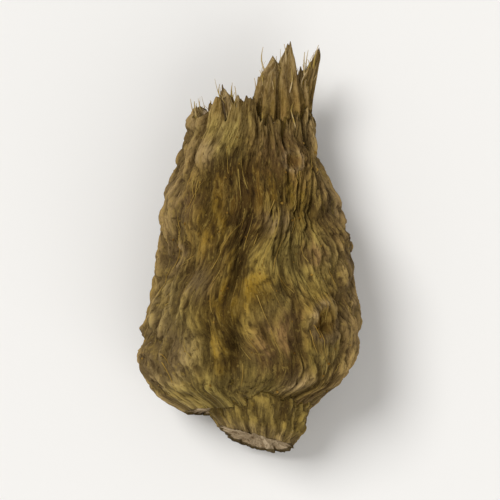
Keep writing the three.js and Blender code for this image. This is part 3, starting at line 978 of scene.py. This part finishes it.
# %% [markdown]
# ## Loose fibres
#
# Thin fibres stand out where the root was torn, and fine root hairs lie on the bark. Each is a strand:
# a short curve with a round section that gets thinner towards its tip. Curves are the quickest way to
# many strands, and they become one mesh at the end.

# %% Strands
STRAND_POINTS = 7
STEPS = np.linspace(0, 1, STRAND_POINTS)[:, None]


def fits(points, thickness):
    """Whether something of that thickness at these points stays inside the solid's box."""
    place = settled(points)
    half = np.array(PIECE) / 2
    return (np.abs(place - [0.0, 0.0, half[2]]) < half - thickness).all()


def strand_mesh(name, strands):
    """One piece from (points in millimetres, thickness at the root) pairs."""
    data = bpy.data.curves.new(name, "CURVE")
    data.dimensions = "3D"
    data.bevel_depth = 0.5 * MM
    data.bevel_resolution = 1
    data.use_fill_caps = True
    for points, thickness in strands:
        if not fits(points, thickness):
            continue
        spline = data.splines.new("POLY")
        spline.points.add(STRAND_POINTS - 1)
        for step, (point, place) in enumerate(zip(spline.points, settled(points))):
            point.co = (*(place * MM), 1.0)
            point.radius = thickness * (1 - 0.75 * step / (STRAND_POINTS - 1))
    curve = bpy.data.objects.new(name, data)
    bpy.context.scene.collection.objects.link(curve)
    graph = bpy.context.evaluated_depsgraph_get()
    mesh = bpy.data.meshes.new_from_object(curve.evaluated_get(graph), depsgraph=graph)
    bpy.data.objects.remove(curve)
    close(mesh)
    made = bpy.data.objects.new(name, mesh)
    bpy.context.scene.collection.objects.link(made)
    return made


FIBRES_PER_SPLINTER = 16
FIBRE_PLACE = (0.45, 0.85)     # where fibres leave a splinter, as shares of its length
FIBRE_ROOT = 0.6               # how far from its middle they start, as a share of its half width
FIBRE_LEAN = (0.0, 0.3)
FIBRE_LENGTH = (0.25, 0.8)
FIBRE_THICKNESS = (0.025, 0.06)
TORN_RIM_FIBRES = 110
RIM_FIBRE_DEPTH = (0.05, 0.5)  # how far under the bark they start
RIM_FIBRE_LEAN = (-0.35, 0.15)
RIM_FIBRE_LENGTH = (0.15, 0.6)
RIM_FIBRE_THICKNESS = (0.03, 0.07)
BARK_HAIRS = 60
HAIR_LENGTH = (0.3, 1.1)
HAIR_LIFT = (0.02, 0.1)        # how far its tip stands off the bark
HAIR_THICKNESS = (0.018, 0.035)
FLANK_MARGIN = 0.3             # radians next to each edge that have no hairs and crumbs
CURL = 0.12
draw = np.random.default_rng(7)


def curled(root, way, length):
    """Points of a strand that bends to one side by up to about a tenth of its length."""
    curl = draw.normal(0, CURL, 3) * np.array([1, 0, 1])
    return root + length * (way * STEPS + curl * np.sin(np.pi * STEPS))


def splinter_fibre(start, end, width, thick, tip, keen, bow):
    """A fibre that leaves a splinter part of the way up and stands off a little."""
    start, end = np.array(start), np.array(end)
    along = draw.uniform(*FIBRE_PLACE)
    turn = draw.uniform(0, 2 * np.pi)
    taper = 1 - along**keen
    side = np.array([np.cos(turn), 0.0, np.sin(turn)])
    half = np.array([mix(tip, width, taper), 0.0, mix(tip, thick, taper)]) / 2
    root = mix(start, end, along) + half * side * FIBRE_ROOT
    root[0] += bow * np.sin(np.pi * along)
    way = (end - start) / np.linalg.norm(end - start) + side * draw.uniform(*FIBRE_LEAN)
    return curled(root, way, draw.uniform(*FIBRE_LENGTH)), draw.uniform(*FIBRE_THICKNESS)


def rim_fibre():
    """A fibre between the teeth of torn bark."""
    grain = draw.uniform(-np.pi, np.pi, 1)
    y = np.array([BODY_TORN_Y + 0.6 * tooth_share(grain[0]) - draw.uniform(0.0, 0.4)])
    place, outward, _ = bark_point(grain, y)
    root = place[0] - outward[0] * draw.uniform(*RIM_FIBRE_DEPTH)
    way = np.array([draw.normal(0, 0.15), 1.0, 0.0]) + outward[0] * draw.uniform(*RIM_FIBRE_LEAN)
    return curled(root, way, draw.uniform(*RIM_FIBRE_LENGTH)), draw.uniform(*RIM_FIBRE_THICKNESS)


def bark_hair():
    """A hair that lies along the bark and lifts off it towards its tip."""
    grain = draw.uniform(FLANK_MARGIN, np.pi - FLANK_MARGIN)
    y = draw.uniform(-3.4, 2.4)
    length = draw.uniform(*HAIR_LENGTH) * draw.choice([-1, 1])
    wander = draw.normal(0, 0.08)
    lift = draw.uniform(*HAIR_LIFT)
    place, outward, _ = bark_point(grain + wander * STEPS[:, 0], y + length * STEPS[:, 0])
    place += outward * (lift * np.sin(0.5 * np.pi * STEPS) - 0.01)
    return place, draw.uniform(*HAIR_THICKNESS)


torn = [splinter_fibre(*row) for row in SPLINTERS for _ in range(FIBRES_PER_SPLINTER)]
torn += [rim_fibre() for _ in range(TORN_RIM_FIBRES)]
torn_fibres = strand_mesh("torn_fibres", torn)
bark_hairs = strand_mesh("bark_hairs", [bark_hair() for _ in range(BARK_HAIRS)])
for piece, slot in ((torn_fibres, "torn_fibre"), (bark_hairs, "bark")):
    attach(piece, "root")
    print(piece.name, "has", len(piece.data.polygons), "faces")

# %% [markdown]
# ## Crumbs
#
# Dried root sheds crumbs of bark and dry soil, which stay in its folds. Each is a small lump, half
# sunk in the bark, and they are made as squeezed and turned balls of twenty faces.

# %% Crumbs on the bark
CRUMBS = 90
CRUMB_SIZE = (0.015, 0.045)
THINNEST, THICKEST = 0.6, 1.3  # how far a ball is squeezed or stretched


def crumb(bm):
    """Adds a crumb and returns 1, or 0 where it would reach out of the solid's box."""
    grain = draw.uniform(FLANK_MARGIN, np.pi - FLANK_MARGIN, 1)
    y = draw.uniform(-4.0, 3.2, 1)
    place, _, _ = bark_point(grain, y)
    size = draw.uniform(*CRUMB_SIZE)
    if not fits(place, THICKEST * size):
        return 0
    turn = Matrix.Rotation(draw.uniform(0, 2 * np.pi), 4, Vector(draw.normal(size=3)).normalized())
    squeeze = Matrix.Diagonal((*draw.uniform(THINNEST, THICKEST, 3), 1.0))
    middle = Matrix.Translation(Vector(settled(place)[0]) * MM)
    bmesh.ops.create_icosphere(bm, subdivisions=1, radius=size * MM, matrix=middle @ turn @ squeeze)
    return 1


bm = bmesh.new()
crumbs_made = sum(crumb(bm) for _ in range(CRUMBS))
crumb_mesh = bpy.data.meshes.new("bark_crumbs")
bm.to_mesh(crumb_mesh)
bm.free()
bark_crumbs = bpy.data.objects.new("bark_crumbs", crumb_mesh)
bpy.context.scene.collection.objects.link(bark_crumbs)
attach(bark_crumbs, "root")
print(f"{crumbs_made} crumbs")

# %% [markdown]
# ## The finish of the bark
#
# Dried valerian bark is olive brown and quite matt. It is painted darker in the creases and grooves,
# as painted shade, and paler on knobs, where pieces rub against each other. Both flanks and the stub's
# cut end are painted paler as painted rim light. Where it flaked off or was torn, the straw-coloured
# tissue below shows, and a knife leaves a paler face, which is painted paler still as a painted
# highlight. The finish is a stack of colours, each laid over those before it where a noise or a value
# stored on the skin says so.

# %% Helpers for materials
ROUGH_NOISE = 0.6              # how strong the finer octaves of a noise are


def add_node(tree, kind, inputs=None, **settings):
    """A node of that kind. inputs are numbers, colours or the sockets that feed it."""
    made = tree.nodes.new(kind)
    for name, value in settings.items():
        setattr(made, name, value)
    for name, value in (inputs or {}).items():
        feed(tree, made.inputs[name], value)
    return made


def feed(tree, socket, value):
    if isinstance(value, bpy.types.NodeSocket):
        tree.links.new(value, socket)
    else:
        socket.default_value = value


def point_value(tree, name, output="Fac"):
    return add_node(tree, "ShaderNodeAttribute", attribute_name=name).outputs[output]


def blend(tree, share, first, second):
    """A colour between two others: share 0 gives the first, 1 the second."""
    made = add_node(tree, "ShaderNodeMix", data_type="RGBA")
    for number, value in ((0, share), (6, first), (7, second)):
        feed(tree, made.inputs[number], value)
    return made.outputs[2]


def remap(tree, value, low, high, to_low=0.0, to_high=1.0):
    inputs = {"Value": value, "From Min": low, "From Max": high, "To Min": to_low, "To Max": to_high}
    return add_node(tree, "ShaderNodeMapRange", inputs).outputs["Result"]


def grain_noise(tree, place, scale, detail, stretch=1.0, shift=0.0):
    """Noise with `scale` cells a millimetre across the grain, and cells `stretch` times as long."""
    inputs = {"Vector": place, "Location": (shift, shift, shift), "Scale": (1.0, 1.0 / stretch, 1.0)}
    moved = add_node(tree, "ShaderNodeMapping", inputs)
    inputs = {
        "Vector": moved.outputs["Vector"],
        "Scale": scale,
        "Detail": detail,
        "Roughness": ROUGH_NOISE,
    }
    return add_node(tree, "ShaderNodeTexNoise", inputs).outputs["Fac"]


def layered(tree, colour, layers):
    """Lays colours over another. Each layer says what it follows, at which values of that it starts
    and is full, how much it covers then, and its colour."""
    for value, start, full, most, tint in layers:
        colour = blend(tree, remap(tree, value, start, full, 0.0, most), colour, tint)
    return colour


def matt(shader):
    shader.inputs["Specular IOR Level"].default_value = 0.15


# %% The bark's colours and material
OLIVE = (0.243, 0.151, 0.019, 1.0)
TAN = (0.300, 0.176, 0.031, 1.0)
RUSSET = (0.140, 0.068, 0.008, 1.0)
ROSY = (0.345, 0.188, 0.072, 1.0)
GOLDEN = (0.310, 0.178, 0.012, 1.0)
BLEACHED = (0.470, 0.347, 0.090, 1.0)
RUBBED_AND_RIM_LIT = (0.450, 0.315, 0.150, 1.0)
DARK = (0.034, 0.017, 0.004, 1.0)
STRAW = (0.345, 0.236, 0.056, 1.0)
PALE = (0.480, 0.360, 0.190, 1.0)
FRESH_CUT_AND_HIGHLIGHT = (0.760, 0.600, 0.400, 1.0)
PATCH_TINTS = [                # patches, how much of the bark's colour they cover, their colour
    ("bleached", 0.9, BLEACHED),
    ("rosy", 0.8, ROSY),
    ("golden", 0.8, GOLDEN),
    ("stained", 0.85, RUSSET),
]
BARK_BUMP = 0.09               # millimetres
LOOSE_BUMP = 0.01


def patch_share(tree, name, noise, most):
    """How much of a patch's colour shows: noise makes its edge and its middle uneven."""
    uneven = remap(tree, noise, 0.35, 0.65, -0.35, 0.35)
    inputs = {0: point_value(tree, name), 1: uneven}
    share = add_node(tree, "ShaderNodeMath", inputs, operation="ADD").outputs[0]
    return remap(tree, share, 0.15, 0.95, 0.0, most)


def bark_material():
    made = bpy.data.materials.new("bark")
    made.use_nodes = True
    tree = made.node_tree
    shader = tree.nodes["Principled BSDF"]
    grain_place = point_value(tree, "grain_place", "Vector")
    patches = grain_noise(tree, grain_place, scale=0.7, detail=3.0, stretch=2.5)
    mottle = grain_noise(tree, grain_place, scale=2.6, detail=4.0, stretch=3.2, shift=3.0)
    streaks = grain_noise(tree, grain_place, scale=5.0, detail=4.0, stretch=8.0)
    hairs = grain_noise(tree, grain_place, scale=16.0, detail=4.0, stretch=7.0, shift=5.0)
    specks = grain_noise(tree, grain_place, scale=11.0, detail=3.0, stretch=1.8)
    labels = ("fold", "creased", "flaked", "scarred", "wear_and_rim_light", "bare")
    fold, creased, flaked, scarred, wear_and_rim_light, bare = (point_value(tree, label) for label in labels)

    colour = blend(tree, remap(tree, patches, 0.40, 0.60), OLIVE, TAN)
    for name, most, tint in PATCH_TINTS:
        colour = blend(tree, patch_share(tree, name, mottle, most), colour, tint)
    colour = layered(tree, colour, (
        (mottle, 0.50, 0.68, 0.32, STRAW),
        (mottle, 0.48, 0.32, 0.35, DARK),
        (streaks, 0.54, 0.70, 0.45, STRAW),
        # Painted rim light on the flanks and the stub's cut end, with real wear on knobs and scar
        # lips.
        (wear_and_rim_light, 0.1, 1.0, 0.7, RUBBED_AND_RIM_LIT),
        (flaked, 0.0, 1.0, 0.5, STRAW),
        # Painted shade: the bark is painted darker the deeper its folds and fine creases are.
        (fold, 0.12, 0.45, 0.58, DARK),
        (creased, 0.05, 0.15, 0.7, DARK),
        (scarred, 0.0, 1.0, 0.5, RUSSET),
        (hairs, 0.48, 0.36, 0.6, DARK),
        (hairs, 0.54, 0.66, 0.4, STRAW),
        (specks, 0.60, 0.68, 0.6, DARK),
        (specks, 0.40, 0.32, 0.4, STRAW),
    ))
    tissue = layered(tree, STRAW, (
        (hairs, 0.36, 0.54, 1.0, PALE),
        # The middle of each cut or torn face is paler tissue, painted paler still as a painted
        # highlight, since these faces turn away from the lamps.
        (bare, 0.8, 1.0, 0.85, FRESH_CUT_AND_HIGHLIGHT),
        (specks, 0.52, 0.62, 0.5, RUSSET),
        (mottle, 0.45, 0.30, 0.45, RUSSET),
        # Painted shade in the creases of the torn tissue.
        (creased, 0.04, 0.14, 0.5, RUSSET),
    ))
    colour = blend(tree, remap(tree, bare, 0.0, 1.0, 0.0, 0.9), colour, tissue)
    tree.links.new(colour, shader.inputs["Base Color"])
    tree.links.new(remap(tree, streaks, 0.3, 0.7, 0.95, 0.8), shader.inputs["Roughness"])
    matt(shader)
    heights = add_node(tree, "ShaderNodeMath", {0: hairs, 1: specks}, operation="ADD").outputs[0]
    inputs = {"Height": heights, "Strength": 1.0, "Distance": BARK_BUMP * MM}
    bump = add_node(tree, "ShaderNodeBump", inputs)
    tree.links.new(bump.outputs["Normal"], shader.inputs["Normal"])
    return made


root_skin.data.materials.clear()
root_skin.data.materials.append(bark_material())
print("bark finish on", root_skin.name)

# %% [markdown]
# ## The finish of the loose bits
#
# Fibres are the palest part, hairs are browner, and crumbs are as dark as the bottom of a crease.
# They are too small for a pattern that follows them, so noise on the object's own coordinates varies
# their colour from one to the next.

# %% Finish the fibres, hairs and crumbs


def strand_material(name, first, second, cells):
    made = bpy.data.materials.new(name)
    made.use_nodes = True
    tree = made.node_tree
    shader = tree.nodes["Principled BSDF"]
    place = add_node(tree, "ShaderNodeTexCoord").outputs["Object"]
    inputs = {"Vector": place, "Scale": cells / MM, "Detail": 3.0}
    noise = add_node(tree, "ShaderNodeTexNoise", inputs).outputs["Fac"]
    colour = blend(tree, remap(tree, noise, 0.38, 0.62), first, second)
    tree.links.new(colour, shader.inputs["Base Color"])
    tree.links.new(remap(tree, noise, 0.3, 0.7, 0.9, 0.75), shader.inputs["Roughness"])
    matt(shader)
    inputs = {"Height": noise, "Strength": 0.5, "Distance": LOOSE_BUMP * MM}
    bump = add_node(tree, "ShaderNodeBump", inputs)
    tree.links.new(bump.outputs["Normal"], shader.inputs["Normal"])
    return made


torn_fibres.data.materials.append(strand_material("torn_fibre", STRAW, PALE, 3.0))
bark_hairs.data.materials.append(strand_material("hair", TAN, STRAW, 2.0))
bark_crumbs.data.materials.append(strand_material("crumb", RUSSET, TAN, 4.0))
print("fibres, hairs and crumbs are finished")
